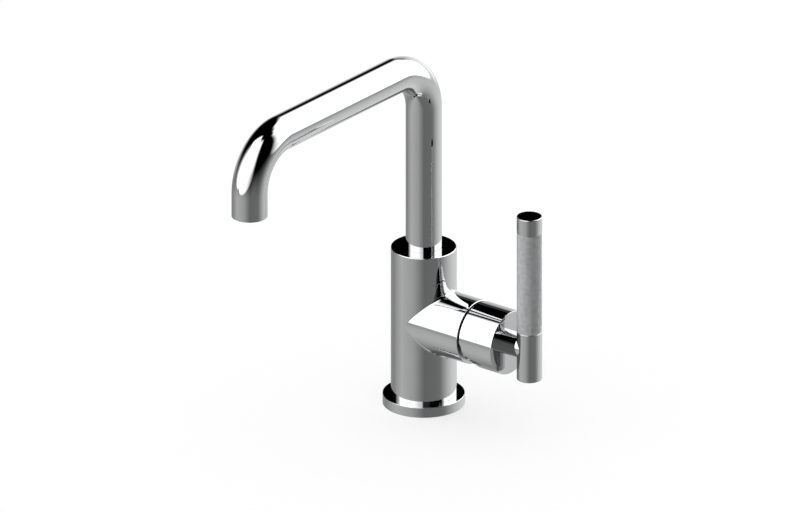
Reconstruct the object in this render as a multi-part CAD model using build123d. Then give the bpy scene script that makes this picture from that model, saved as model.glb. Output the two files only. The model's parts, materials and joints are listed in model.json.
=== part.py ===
from build123d import *
import os
from math import asin, cos, degrees, radians, sin, sqrt

# Single-lever basin mixer, in millimetres.
# The origin is the centre of the face that stands on the deck, and +Z is up.
# The spout reaches towards -Y and the valve housing points towards +X.

# Base ring and gasket
base_ring_rim = 5.0
base_ring_height = 6.5
base_ring_edge = 0.3
base_ledge = 2.0
base_ledge_reach = 3.5
gasket_inset = 1.5
gasket_width = 2.5
gasket_thickness = 1.5

# Body: an upright with a side housing, and a hollow skirt for the hoses
body_diameter = 40.0
body_top_edge = 0.5
body_above_axis = 45.9
housing_diameter = 39.9
housing_axis_height = 56.7
housing_length = 41.2
housing_end_edge = 0.6
skirt_wall = 2.6
skirt_below_axis = 26.7

# Inlet ports for M10x1 hoses, and the hole for the M8 fixing stud
inlet_port_radius = 4.46
inlet_port_depth = 10.0
inlet_port_x = 4.0
inlet_port_y = 8.5
inlet_way_radius = 3.2
stud_hole_radius = 3.32
stud_hole_depth = 12.0
stud_hole_x = -9.5
mixed_way_radius = 3.8
mixed_way_x = -6.0

# Places of the water ways about the housing axis, at the seat and at the ceramic discs
inlet_above_axis = 4.5
outlet_below_axis = 7.6
disc_inlet_y = 5.8
disc_inlet_above = 3.2
disc_inlet_radius = 2.2
disc_outlet_below = 6.0
disc_outlet_radius = 3.2

# Spout
tube_diameter = 22.0
tube_wall = 1.5
spout_height = 224.1
spout_reach = 170.5
spout_drop = 44.6
bend_radius = 30.0
swivel_each_way = 60.0

# Spout socket and the nipple that turns in it
socket_depth = 28.6
tube_insertion = 8.0
nipple_bore = 14.0
nipple_foot = 0.6
nipple_spigot_length = 10.0
nipple_relief = 0.28
o_ring_groove = 2.8
o_ring_depth = 1.9
o_ring_heights = (4.9, 9.1)
glide_ring_height = 2.3
glide_ring_depth = 1.2
glide_ring_heights = (1.0, 17.6)
stop_slot_height = 14.9
stop_dog_radius = 1.5
stop_slot_depth = 1.6
stop_screw_radius = 2.5
stop_screw_length = 8.0
stop_key_across = 2.5
stop_key_depth = 2.5

# Aerator in the spout's mouth, thread M16.5x1
sleeve_recess = 0.5
sleeve_length = 11.5
sleeve_lip = 1.5
sleeve_wall = 1.25
sleeve_lip_reach = 1.45
aerator_recess = 1.2
aerator_height = 7.7
aerator_wall = 1.0
grid_thickness = 1.5
grid_hole_across = 1.9
grid_web = 0.5
aerator_slot_width = 1.6
aerator_slot_depth = 1.0
washer_thickness = 1.6
jet_plate_thickness = 1.6
jet_plate_rise = 3.6
jet_hole_radius = 0.5
jet_hole_count = 12
jet_circle_radius = 5.4
screen_thickness = 0.4
screen_pitch = 1.6
screen_wire = 0.5
regulator_thickness = 1.2
regulator_radius = 5.6
regulator_bore_radius = 3.0

# Valve cartridge, measured along the housing axis from its seat
pivot_beyond_housing = 0.8
cartridge_radius = 17.3
cartridge_cavity_radius = 14.9
base_flange = 3.0
base_step = 2.0
seat_pin_radius = 1.5
seat_pin_length = 3.0
seat_pin_y = 12.5
seat_pin_above = 8.0
seal_width = 1.1
seal_depth = 1.2
base_lug_width = 3.0
base_lug_height = 2.5
base_lug_depth = 1.3
fixed_disc_radius = 14.3
fixed_disc_thickness = 3.5
moving_disc_radius = 11.5
moving_disc_thickness = 3.0
mixing_pocket_radius = 6.0
mixing_pocket_depth = 1.4
mixing_pocket_below = 4.4
carrier_plate = 4.0
carrier_lug_width = 3.0
carrier_lug_depth = 1.0
carrier_lug_height = 1.6
carrier_floor = 0.6
tongue_width = 11.0
tongue_length = 15.0
tongue_height = 3.0
rotor_flange = 4.7
rotor_flange_radius = 14.6
rotor_neck_radius = 12.0
rotor_below_neck_top = 0.3
rotor_lug_reach = 1.8
rotor_lug_height = 1.8
rotor_lug_angle = 20.0
turn_each_way = 45.0
glide_washer_thickness = 0.6
shoulder_thickness = 1.32
neck_length = 7.5
neck_radius = 14.0
pivot_below_neck_top = 2.5

# Spindle: a square bar on a cross pin, with a ball end in the disc carrier
tilt_range = 25.0
spindle_across = 8.0
spindle_foot = 4.0
spindle_reach = 15.0
spindle_ball_radius = 2.6
spindle_shank_radius = 2.1
pin_radius = 1.5
pin_length = 22.0

# Cartridge nut and dome cover
nut_thread_radius = 18.0
nut_collar_radius = 15.45
nut_collar_height = 5.2
nut_slot_width = 3.0
nut_slot_depth = 2.0
dome_radius = 18.2
dome_wall = 1.0
dome_opening_angle = 44.0

# Turning cap of the lever
cap_gap = 1.6
cap_length = 24.5
cap_end_edge = 0.4
wedge_angle = 28.0
boss_radius = 7.5
boss_start = 6.5
cap_screw_radius = 2.5
cap_screw_length = 5.0
cap_screw_place = 12.2
cap_screw_access_radius = 2.8
plug_depth = 2.0

# Stub and upright rod of the lever
stub_radius = 7.5
stub_thread_radius = 4.0
stub_thread_length = 5.8
stub_spigot_radius = 4.5
stub_spigot_beyond = 5.0
rod_x = 81.5
rod_diameter = 15.5
rod_edge = 0.5
barrel_below_axis = 19.95
barrel_length = 31.35
barrel_screw_radius = 2.5
barrel_screw_length = 8.0
grip_length = 64.9
grip_diameter = 15.4
grip_bore = 10.0
grip_edge = 0.3
centring_height = 3.0
grip_stud_radius = 3.0
grip_stud_depth = 5.7
end_cap_length = 10.8
end_cap_floor = 4.5

# Clearances, on the radius or between faces
running_clearance = 0.06
sliding_clearance = 0.08
seat_clearance = 0.1
thread_clearance = 0.02
disc_clearance = 0.02
glide_clearance = 0.03
dome_clearance = 0.35
carrier_clearance = 0.3

# Sizes that follow from the ones above
axis_z = housing_axis_height
body_top = axis_z + body_above_axis
skirt_height = axis_z - skirt_below_axis
spout_outlet_height = spout_height - spout_drop
body_radius = body_diameter / 2
base_ring_radius = body_radius + base_ring_rim
base_ring_bore_radius = body_radius - base_ledge_reach
gasket_outer_radius = base_ring_radius - gasket_inset
housing_radius = housing_diameter / 2
housing_end = housing_length
tube_radius = tube_diameter / 2
tube_bore_radius = tube_radius - tube_wall
aerator_radius = tube_bore_radius - sleeve_wall
sleeve_lip_bore_radius = aerator_radius - sleeve_lip_reach
socket_radius = tube_radius + sliding_clearance
socket_floor = body_top - socket_depth
nipple_bottom = socket_floor + nipple_foot
tube_bottom = body_top - tube_insertion
nipple_radius = socket_radius - nipple_relief
pivot_x = housing_end + pivot_beyond_housing
neck_top_x = pivot_x + pivot_below_neck_top
shoulder_x = neck_top_x - neck_length
ceiling_x = shoulder_x - shoulder_thickness
glide_washer_x = ceiling_x - glide_clearance - glide_washer_thickness
rotor_flange_top_x = glide_washer_x - glide_clearance
rotor_flange_x = rotor_flange_top_x - rotor_flange
carrier_top_x = rotor_flange_x - carrier_clearance
carrier_x = carrier_top_x - carrier_plate
moving_disc_x = carrier_x - moving_disc_thickness
fixed_disc_x = moving_disc_x - disc_clearance - fixed_disc_thickness
base_step_x = fixed_disc_x - base_step
seat_x = base_step_x - base_flange
bore_radius = cartridge_radius + seat_clearance
rotor_top_x = neck_top_x - rotor_below_neck_top
neck_bore_radius = rotor_neck_radius + running_clearance
ball_floor_x = carrier_x + carrier_floor
ball_socket_radius = spindle_ball_radius + sliding_clearance
ball_arm = pivot_x - ball_floor_x - sliding_clearance - spindle_ball_radius
half_tilt = tilt_range / 2
disc_offset = -ball_arm * sin(radians(half_tilt))
cap_x = housing_end + cap_gap
cap_end_x = cap_x + cap_length
cap_cavity_radius = dome_radius + dome_clearance
rod_radius = rod_diameter / 2
barrel_bottom = axis_z - barrel_below_axis
barrel_top = barrel_bottom + barrel_length
grip_top = barrel_top + grip_length
rod_top = grip_top + end_cap_length
centring_radius = grip_bore / 2 - sliding_clearance
mouth_y = -spout_reach


def turned(*points):
    """A solid turned about Z from an outline of (radius, height) points."""
    outline = [(radius, 0, height) for radius, height in points]
    return revolve(make_face(Polyline(*outline, close=True)), Axis.Z)


def upright(bottom, top, radius, x=0.0, y=0.0):
    """A plain cylinder along Z."""
    rod = Cylinder(radius, top - bottom, align=(Align.CENTER, Align.CENTER, Align.MIN))
    return Pos(x, y, bottom) * rod


def level(start, end, radius, y=0.0, above=0.0):
    """A plain cylinder along the housing axis, from one X to another."""
    rod = Cylinder(radius, end - start, align=(Align.CENTER, Align.CENTER, Align.MIN))
    return Pos(start, y, axis_z + above) * Rot(0, 90, 0) * rod


def block(start, end, y_width, z_width, y=0.0, above=0.0):
    """A box along the housing axis, from one X to another."""
    box = Box(end - start, y_width, z_width, align=(Align.MIN, Align.CENTER, Align.CENTER))
    return Pos(start, y, axis_z + above) * box


def turned_on_housing(*points):
    """A solid turned about the housing axis from an outline of (radius, x) points."""
    return Pos(0, 0, axis_z) * Rot(0, 90, 0) * turned(*points)


def on_spindle(shape):
    """Places a shape, built along +X from the pivot, on the spindle's leaning axis."""
    return Pos(pivot_x, 0, axis_z) * Rot(0, -half_tilt, 0) * shape


def from_below(start, end, radius, place):
    """A cylinder square to the spindle, on the side that faces the deck."""
    rod = Cylinder(radius, end - start, align=(Align.CENTER, Align.CENTER, Align.MIN))
    return on_spindle(Pos(place, 0, -end) * rod)


def key_socket(across, depth):
    """The hexagonal key hole of a grub screw, sunk from Z = 0 downwards."""
    outline = RegularPolygon(across / 2, 6, major_radius=False)
    return extrude(outline, -depth)


def base_ring():
    ring = turned(
        (0, 0),
        (base_ring_radius, 0),
        (base_ring_radius, base_ring_height - base_ring_edge),
        (base_ring_radius - base_ring_edge, base_ring_height),
        (0, base_ring_height),
    )
    ring -= upright(base_ledge, base_ring_height, body_radius + sliding_clearance)
    ring -= upright(0, base_ledge, base_ring_bore_radius)
    groove = upright(0, gasket_thickness, gasket_outer_radius + thread_clearance)
    groove -= upright(0, gasket_thickness, gasket_outer_radius - gasket_width)
    return ring - groove


def base_gasket():
    gasket = upright(0, gasket_thickness, gasket_outer_radius)
    inner = gasket_outer_radius - gasket_width + thread_clearance
    return gasket - upright(0, gasket_thickness, inner)


def body():
    casting = turned(
        (0, base_ledge),
        (body_radius, base_ledge),
        (body_radius, body_top - body_top_edge),
        (body_radius - body_top_edge, body_top),
        (0, body_top),
    )
    casting += turned_on_housing(
        (0, 0),
        (housing_radius, 0),
        (housing_radius, housing_end - housing_end_edge),
        (housing_radius - housing_end_edge, housing_end),
        (0, housing_end),
    )
    casting -= upright(base_ledge, skirt_height, body_radius - skirt_wall)
    casting -= upright(socket_floor, body_top, socket_radius)
    casting -= level(seat_x, housing_end, bore_radius)
    casting -= level(shoulder_x, housing_end, nut_thread_radius + thread_clearance)
    return casting - body_water_ways() - body_fixings()


def body_water_ways():
    """The two inlet ports and ways, and the mixed way up to the spout socket."""
    inlet_z = axis_z + inlet_above_axis
    outlet_z = axis_z - outlet_below_axis
    ways = upright(outlet_z - mixed_way_radius, socket_floor, mixed_way_radius, mixed_way_x)
    ways += level(mixed_way_x, seat_x, mixed_way_radius, 0, -outlet_below_axis)
    for side in (-1, 1):
        y = side * inlet_port_y
        port_top = skirt_height + inlet_port_depth
        ways += upright(skirt_height, port_top, inlet_port_radius, inlet_port_x, y)
        ways += upright(port_top, inlet_z + inlet_way_radius, inlet_way_radius, inlet_port_x, y)
        ways += level(inlet_port_x, seat_x, inlet_way_radius, y, inlet_above_axis)
    return ways


def body_fixings():
    """The stud's hole, the holes of the cartridge's pins and the stop screw's hole."""
    holes = upright(skirt_height, skirt_height + stud_hole_depth, stud_hole_radius, stud_hole_x)
    pin_hole = seat_pin_radius + seat_clearance
    for side in (-1, 1):
        holes += level(
            seat_x - seat_pin_length - seat_clearance,
            seat_x,
            pin_hole,
            side * seat_pin_y,
            -seat_pin_above,
        )
    screw_hole = Cylinder(
        stop_screw_radius + thread_clearance,
        body_radius,
        align=(Align.CENTER, Align.CENTER, Align.MIN),
    )
    return holes + Pos(0, 0, nipple_bottom + stop_slot_height) * Rot(-90, 0, 0) * screw_hole


def spout_tube():
    route = FilletPolyline(
        (0, 0, tube_bottom),
        (0, 0, spout_height),
        (0, mouth_y, spout_height),
        (0, mouth_y, spout_outlet_height),
        radius=bend_radius,
    )
    section = Circle(tube_radius) - Circle(tube_bore_radius)
    return sweep(Pos(0, 0, tube_bottom) * section, path=route)


def nipple_groove(bottom, height, depth):
    """A ring-shaped groove in the nipple's outside."""
    groove = upright(bottom, bottom + height, socket_radius)
    return groove - upright(bottom, bottom + height, nipple_radius - depth)


def spout_nipple():
    nipple = upright(nipple_bottom, tube_bottom, nipple_radius)
    nipple += upright(tube_bottom, tube_bottom + nipple_spigot_length, tube_bore_radius)
    nipple -= upright(nipple_bottom, tube_bottom + nipple_spigot_length, nipple_bore / 2)
    for height in o_ring_heights:
        nipple -= nipple_groove(nipple_bottom + height, o_ring_groove, o_ring_depth)
    for height in glide_ring_heights:
        nipple -= nipple_groove(nipple_bottom + height, glide_ring_height, glide_ring_depth)
    return nipple - stop_slot()


def stop_slot():
    """The slot in which the stop screw's point runs, a little longer than the swivel."""
    half_height = stop_dog_radius + seat_clearance
    inner = nipple_radius - stop_slot_depth
    middle = nipple_bottom + stop_slot_height
    dog_angle = degrees(asin((stop_dog_radius + seat_clearance) / inner))
    half_arc = swivel_each_way + dog_angle
    outline = [
        (inner, 0, middle - half_height),
        (socket_radius, 0, middle - half_height),
        (socket_radius, 0, middle + half_height),
        (inner, 0, middle + half_height),
    ]
    face = make_face(Polyline(*outline, close=True))
    slot = revolve(face, Axis.Z, revolution_arc=2 * half_arc)
    return Rot(0, 0, 90 - half_arc) * slot


def spout_o_rings():
    inner = nipple_radius - o_ring_depth
    outer = socket_radius - disc_clearance
    section = (outer - inner) / 2
    rings = []
    for height in o_ring_heights:
        middle = nipple_bottom + height + o_ring_groove / 2
        rings.append(Pos(0, 0, middle) * Torus(inner + section, section))
    return Compound(children=[ring.solid() for ring in rings])


def spout_glide_rings():
    rings = []
    for height in glide_ring_heights:
        bottom = nipple_bottom + height
        ring = upright(bottom, bottom + glide_ring_height, socket_radius - glide_clearance)
        ring -= upright(bottom, bottom + glide_ring_height, nipple_radius - glide_ring_depth)
        rings.append(ring)
    return Compound(children=[ring.solid() for ring in rings])


def swivel_stop_screw():
    """A grub screw in the back of the body, whose point enters the nipple's slot."""
    tip_y = nipple_radius - stop_slot_depth + seat_clearance
    thread_y = socket_radius + seat_clearance
    length = thread_y - tip_y + stop_screw_length
    screw = upright(0, length, stop_screw_radius) - Pos(0, 0, length) * key_socket(
        stop_key_across, stop_key_depth
    )
    screw -= upright(0, thread_y - tip_y, stop_screw_radius) - upright(
        0, thread_y - tip_y, stop_dog_radius
    )
    return Pos(0, tip_y, nipple_bottom + stop_slot_height) * Rot(-90, 0, 0) * screw


def outlet_sleeve():
    bottom = spout_outlet_height + sleeve_recess
    top = bottom + sleeve_length
    sleeve = upright(bottom, top, tube_bore_radius, 0, mouth_y)
    sleeve -= upright(bottom, top - sleeve_lip, aerator_radius, 0, mouth_y)
    return sleeve - upright(bottom, top, sleeve_lip_bore_radius, 0, mouth_y)


def hexagon_places(pitch, limit):
    """Centres of a honeycomb whose cells stay inside a circle."""
    rows = int(limit / pitch) + 1
    places = []
    for row in range(-rows, rows + 1):
        for column in range(-2 * rows, 2 * rows + 1):
            x = (column + row / 2) * pitch
            y = row * pitch * sqrt(3) / 2
            if sqrt(x * x + y * y) + pitch / 2 <= limit:
                places.append((x, y))
    return places


def aerator_housing():
    """The threaded shell with its honeycomb outlet and the slots for its key."""
    bottom = spout_outlet_height + aerator_recess
    outer = aerator_radius - thread_clearance
    inner = outer - aerator_wall
    shell = upright(0, aerator_height, outer) - upright(grid_thickness, aerator_height, inner)
    cell = RegularPolygon(grid_hole_across / 2, 6, rotation=30, major_radius=False)
    pitch = grid_hole_across + grid_web
    cells = Sketch() + [Pos(x, y) * cell for x, y in hexagon_places(pitch, inner)]
    shell -= extrude(cells, grid_thickness)
    slot = Box(aerator_slot_width, outer, aerator_slot_depth, align=(Align.CENTER, Align.MIN, Align.MIN))
    for turn in range(4):
        shell -= Rot(0, 0, 45 + 90 * turn) * Pos(0, inner - grid_web, 0) * slot
    return Pos(0, mouth_y, bottom) * shell


def aerator_inner(thickness, radius, rise):
    """A disc inside the aerator's shell, at a height above its grid."""
    bottom = spout_outlet_height + aerator_recess + grid_thickness + rise
    return upright(bottom, bottom + thickness, radius, 0, mouth_y)


def aerator_inner_radius():
    return aerator_radius - thread_clearance - aerator_wall - thread_clearance


def aerator_jet_plate():
    bottom = spout_outlet_height + aerator_recess + grid_thickness
    seat = aerator_inner(jet_plate_rise, aerator_inner_radius(), 0)
    seat -= aerator_inner(jet_plate_rise, aerator_inner_radius() - aerator_wall, 0)
    plate = aerator_inner(jet_plate_thickness, aerator_inner_radius(), jet_plate_rise)
    hole = upright(bottom, bottom + 2 * jet_plate_rise, jet_hole_radius, jet_circle_radius, 0)
    for turn in range(jet_hole_count):
        plate -= Pos(0, mouth_y, 0) * Rot(0, 0, turn * 360 / jet_hole_count) * hole
    return plate + seat


def aerator_screen():
    rise = jet_plate_rise + jet_plate_thickness
    screen = aerator_inner(screen_thickness, aerator_inner_radius(), rise)
    bottom = spout_outlet_height + aerator_recess + grid_thickness + rise
    limit = aerator_inner_radius() - screen_wire
    hole = Rectangle(screen_pitch - screen_wire, screen_pitch - screen_wire)
    steps = int(limit / screen_pitch)
    holes = Sketch()
    for row in range(-steps, steps + 1):
        for column in range(-steps, steps + 1):
            corner = screen_pitch * sqrt((abs(row) + 0.5) ** 2 + (abs(column) + 0.5) ** 2)
            if corner <= limit:
                holes += Pos(column * screen_pitch, row * screen_pitch) * hole
    return screen - Pos(0, mouth_y, bottom) * extrude(holes, screen_thickness)


def flow_regulator():
    """The ring above the screen that holds the flow steady."""
    rise = jet_plate_rise + jet_plate_thickness + screen_thickness
    ring = aerator_inner(regulator_thickness, regulator_radius, rise)
    return ring - aerator_inner(regulator_thickness, regulator_bore_radius, rise)


def aerator_washer():
    bottom = spout_outlet_height + aerator_recess + aerator_height
    top = min(bottom + washer_thickness, spout_outlet_height + sleeve_recess + sleeve_length - sleeve_lip)
    washer = upright(bottom, top, aerator_radius - seat_clearance, 0, mouth_y)
    return washer - upright(bottom, top, sleeve_lip_bore_radius, 0, mouth_y)


def seat_ports():
    """Where the base meets the body: (y, height above the axis, radius)."""
    return [
        (inlet_port_y, inlet_above_axis, inlet_way_radius),
        (-inlet_port_y, inlet_above_axis, inlet_way_radius),
        (0, -outlet_below_axis, mixed_way_radius),
    ]


def disc_ports():
    """Where the base meets the fixed disc: (y, height above the axis, radius)."""
    return [
        (disc_inlet_y, disc_inlet_above, disc_inlet_radius),
        (-disc_inlet_y, disc_inlet_above, disc_inlet_radius),
        (0, -disc_outlet_below, disc_outlet_radius),
    ]


def port_rings(ports, start, end, clearance):
    """The rings around a set of ports, as seals or as the grooves that hold them."""
    rings = []
    for y, above, radius in ports:
        ring = level(start, end, radius + 2 * seal_width - clearance, y, above)
        ring -= level(start, end, radius + seal_width + clearance, y, above)
        rings.append(ring)
    return rings


def cartridge_base():
    middle_x = seat_x + (base_flange + base_step) / 2
    base = level(seat_x, base_step_x, cartridge_radius)
    base += level(base_step_x, fixed_disc_x, cartridge_cavity_radius - seat_clearance)
    for side in (-1, 1):
        y = side * (fixed_disc_radius - base_lug_depth / 2)
        lug = block(fixed_disc_x, fixed_disc_x + base_lug_height, base_lug_depth, base_lug_width, y)
        base += lug & level(fixed_disc_x, fixed_disc_x + base_lug_height, fixed_disc_radius)
        pin_y = side * seat_pin_y
        base += level(seat_x - seat_pin_length, seat_x, seat_pin_radius, pin_y, -seat_pin_above)
    for y, above, radius in seat_ports():
        base -= level(seat_x, middle_x, radius, y, above)
    for y, above, radius in disc_ports():
        base -= level(middle_x, fixed_disc_x, radius, y, above)
    for groove in port_rings(seat_ports(), seat_x, seat_x + seal_depth, 0):
        base -= groove
    for groove in port_rings(disc_ports(), fixed_disc_x - seal_depth, fixed_disc_x, 0):
        base -= groove
    return base


def seat_seals():
    rings = port_rings(seat_ports(), seat_x, seat_x + seal_depth, thread_clearance)
    return Compound(children=[ring.solid() for ring in rings])


def disc_seals():
    rings = port_rings(disc_ports(), fixed_disc_x - seal_depth, fixed_disc_x, thread_clearance)
    return Compound(children=[ring.solid() for ring in rings])


def fixed_disc():
    end_x = fixed_disc_x + fixed_disc_thickness
    disc = level(fixed_disc_x, end_x, fixed_disc_radius)
    for y, above, radius in disc_ports():
        disc -= level(fixed_disc_x, end_x, radius, y, above)
    for side in (-1, 1):
        y = side * (fixed_disc_radius - base_lug_depth / 2)
        disc -= block(
            fixed_disc_x,
            end_x,
            base_lug_depth + seat_clearance,
            base_lug_width + 2 * seat_clearance,
            y,
        )
    return disc


def moving_disc():
    disc = level(moving_disc_x, carrier_x, moving_disc_radius, 0, disc_offset)
    disc -= level(
        moving_disc_x,
        moving_disc_x + mixing_pocket_depth,
        mixing_pocket_radius,
        0,
        disc_offset - mixing_pocket_below,
    )
    for side in (-1, 1):
        disc -= block(
            carrier_x - carrier_lug_height - seat_clearance,
            carrier_x,
            2 * carrier_lug_depth + 2 * seat_clearance,
            carrier_lug_width + 2 * seat_clearance,
            side * moving_disc_radius,
            disc_offset,
        )
    return disc


def disc_carrier():
    """The plate on the moving disc, with a tongue in the rotor and the ball's socket."""
    tongue_top_x = carrier_top_x + tongue_height
    carrier = level(carrier_x, carrier_top_x, moving_disc_radius, 0, disc_offset)
    carrier += block(carrier_top_x, tongue_top_x, tongue_width, tongue_length, 0, disc_offset)
    lug_body = level(carrier_x - carrier_lug_height, carrier_x, moving_disc_radius, 0, disc_offset)
    for side in (-1, 1):
        lug = block(
            carrier_x - carrier_lug_height,
            carrier_x,
            2 * carrier_lug_depth,
            carrier_lug_width,
            side * moving_disc_radius,
            disc_offset,
        )
        carrier += lug & lug_body
    carrier -= level(ball_floor_x, tongue_top_x, ball_socket_radius, 0, disc_offset)
    swing = 2 * (ball_socket_radius + tongue_height * sin(radians(half_tilt)) + sliding_clearance)
    return carrier - block(
        carrier_top_x, tongue_top_x, 2 * ball_socket_radius, swing, 0, disc_offset
    )


def cartridge_housing():
    """The cartridge's shell, with a neck for the rotor and a window for its stop."""
    shell = level(base_step_x, shoulder_x, cartridge_radius)
    shell += level(shoulder_x, neck_top_x, neck_radius)
    shell -= level(base_step_x, ceiling_x, cartridge_cavity_radius)
    shell -= level(ceiling_x, neck_top_x, neck_bore_radius)
    return shell - stop_sector(
        rotor_top_x - rotor_lug_height - seat_clearance,
        neck_top_x,
        neck_radius,
        rotor_lug_angle + 2 * turn_each_way,
    )


def stop_sector(start, end, outer, angle):
    """A sector of a ring on the housing axis, centred on the top."""
    outline = [
        (rotor_neck_radius - rotor_lug_reach, 0, start),
        (outer, 0, start),
        (outer, 0, end),
        (rotor_neck_radius - rotor_lug_reach, 0, end),
    ]
    face = make_face(Polyline(*outline, close=True))
    sector = Rot(0, 0, 180 - angle / 2) * revolve(face, Axis.Z, revolution_arc=angle)
    return Pos(0, 0, axis_z) * Rot(0, 90, 0) * sector


def rotor():
    """The part that turns in the neck, guides the disc carrier and holds the pin."""
    turning = level(rotor_flange_x, rotor_flange_top_x, rotor_flange_radius)
    turning += level(rotor_flange_top_x, rotor_top_x, rotor_neck_radius)
    turning += stop_sector(
        rotor_top_x - rotor_lug_height,
        rotor_top_x,
        rotor_neck_radius + rotor_lug_reach,
        rotor_lug_angle,
    )
    groove_top_x = carrier_top_x + tongue_height + carrier_clearance
    turning -= block(
        rotor_flange_x,
        groove_top_x,
        tongue_width + 2 * sliding_clearance,
        2 * rotor_flange_radius,
    )
    corner = spindle_across / 2 * (cos(radians(half_tilt)) + sin(radians(half_tilt)))
    slot_length = 2 * (corner + carrier_clearance)
    slot_width = spindle_across + 2 * sliding_clearance
    turning -= block(rotor_flange_x, rotor_top_x, slot_width, slot_length)
    return turning - cross_pin(pin_radius, 2 * rotor_flange_radius)


def cross_pin(radius, length):
    """A cylinder along Y through the pivot."""
    return Pos(pivot_x, 0, axis_z) * Rot(90, 0, 0) * Cylinder(radius, length)


def spindle_pin():
    return cross_pin(pin_radius, pin_length)


def rotor_glide_ring():
    end_x = glide_washer_x + glide_washer_thickness
    ring = level(glide_washer_x, end_x, cartridge_cavity_radius - seat_clearance)
    return ring - level(glide_washer_x, end_x, rotor_neck_radius + seat_clearance)


def spindle():
    """The square bar, with its shank and ball end in the disc carrier."""
    foot = -spindle_foot
    bar = Box(
        spindle_reach + spindle_foot,
        spindle_across,
        spindle_across,
        align=(Align.MIN, Align.CENTER, Align.CENTER),
    )
    bar = Pos(foot, 0, 0) * bar
    shank = Cylinder(
        spindle_shank_radius,
        ball_arm - spindle_foot,
        align=(Align.CENTER, Align.CENTER, Align.MIN),
    )
    bar += Pos(-ball_arm, 0, 0) * Rot(0, 90, 0) * shank
    bar += Pos(-ball_arm, 0, 0) * Sphere(spindle_ball_radius)
    return on_spindle(bar) - cross_pin(pin_radius + running_clearance, pin_length)


def cartridge_nut():
    collar_top_x = housing_end + nut_collar_height
    nut = level(shoulder_x, housing_end, nut_thread_radius)
    nut += level(housing_end, collar_top_x, nut_collar_radius)
    nut -= level(shoulder_x, collar_top_x, neck_radius + seat_clearance)
    for turn in (0, 90):
        slot = block(
            collar_top_x - nut_slot_depth,
            collar_top_x,
            nut_slot_width,
            2 * nut_thread_radius,
        )
        nut -= Pos(0, 0, axis_z) * Rot(turn, 0, 0) * Pos(0, 0, -axis_z) * slot
    return nut


def ball_about_pivot(radius):
    return Pos(pivot_x, 0, axis_z) * Rot(0, 90, 0) * Sphere(radius)


def dome_cover():
    """The round cover screwed on the nut's collar, with an opening for the lever's swing."""
    skirt_x = housing_end + nut_collar_height + seat_clearance
    opening_radius = dome_radius * sin(radians(dome_opening_angle))
    dome = ball_about_pivot(dome_radius) & level(housing_end, pivot_x + dome_radius, dome_radius)
    hollow = ball_about_pivot(dome_radius - dome_wall)
    dome -= hollow & level(skirt_x, pivot_x + dome_radius, dome_radius)
    dome -= level(housing_end, skirt_x, nut_collar_radius + thread_clearance)
    return dome - level(skirt_x, pivot_x + dome_radius, opening_radius)


def lever_cap():
    """The turning cap: a drum with a round hollow, a boss for the spindle and the wedge cut."""
    drum = turned_on_housing(
        (0, cap_x),
        (housing_radius, cap_x),
        (housing_radius, cap_end_x - cap_end_edge),
        (housing_radius - cap_end_edge, cap_end_x),
        (0, cap_end_x),
    )
    drum -= ball_about_pivot(cap_cavity_radius) - lever_boss()
    drum -= spindle_socket()
    drum -= level(
        cap_end_x - stub_thread_length - seat_clearance,
        cap_end_x,
        stub_thread_radius + thread_clearance,
    )
    place = cap_screw_place
    screw_top = spindle_across / 2
    drum -= from_below(screw_top, boss_radius, cap_screw_radius + thread_clearance, place)
    drum -= from_below(boss_radius, housing_diameter, cap_screw_access_radius, place)
    wedge = Box(
        cap_length,
        2 * body_diameter,
        2 * body_diameter,
        align=(Align.MAX, Align.CENTER, Align.MAX),
    )
    return drum - Pos(cap_x, 0, axis_z) * Rot(0, -wedge_angle, 0) * wedge


def lever_boss():
    """The boss inside the cap, on the spindle's leaning axis."""
    rod = Cylinder(boss_radius, cap_length, align=(Align.CENTER, Align.CENTER, Align.MIN))
    return on_spindle(Pos(boss_start, 0, 0) * Rot(0, 90, 0) * rod)


def spindle_socket():
    """The square hole in which the spindle's end sits."""
    across = spindle_across + 2 * seat_clearance
    hole = Box(
        spindle_reach + seat_clearance,
        across,
        across,
        align=(Align.MIN, Align.CENTER, Align.CENTER),
    )
    return on_spindle(hole)


def cap_grub_screw():
    """Presses on the spindle from below, through the boss."""
    start = spindle_across / 2
    screw = from_below(start, start + cap_screw_length, cap_screw_radius, cap_screw_place)
    socket = Pos(0, 0, -start - cap_screw_length) * Rot(180, 0, 0) * key_socket(
        stop_key_across, stop_key_depth
    )
    return screw - on_spindle(Pos(cap_screw_place, 0, 0) * socket)


def cap_screw_plug():
    """Closes the screw's access hole, flush with the cap's outside."""
    radius = cap_screw_access_radius - thread_clearance
    plug = from_below(boss_radius, housing_diameter, radius, cap_screw_place)
    plug &= level(cap_x, cap_end_x, housing_radius)
    return plug - level(cap_x, cap_end_x, housing_radius - plug_depth)


def handle_stub():
    """The neck between cap and rod: a thread into the cap, a coped end and a spigot."""
    stub = level(cap_end_x, rod_x, stub_radius)
    stub -= upright(0, rod_top, rod_radius, rod_x)
    stub += level(cap_end_x - stub_thread_length, cap_end_x, stub_thread_radius)
    return stub + level(cap_end_x, rod_x + stub_spigot_beyond, stub_spigot_radius)


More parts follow.
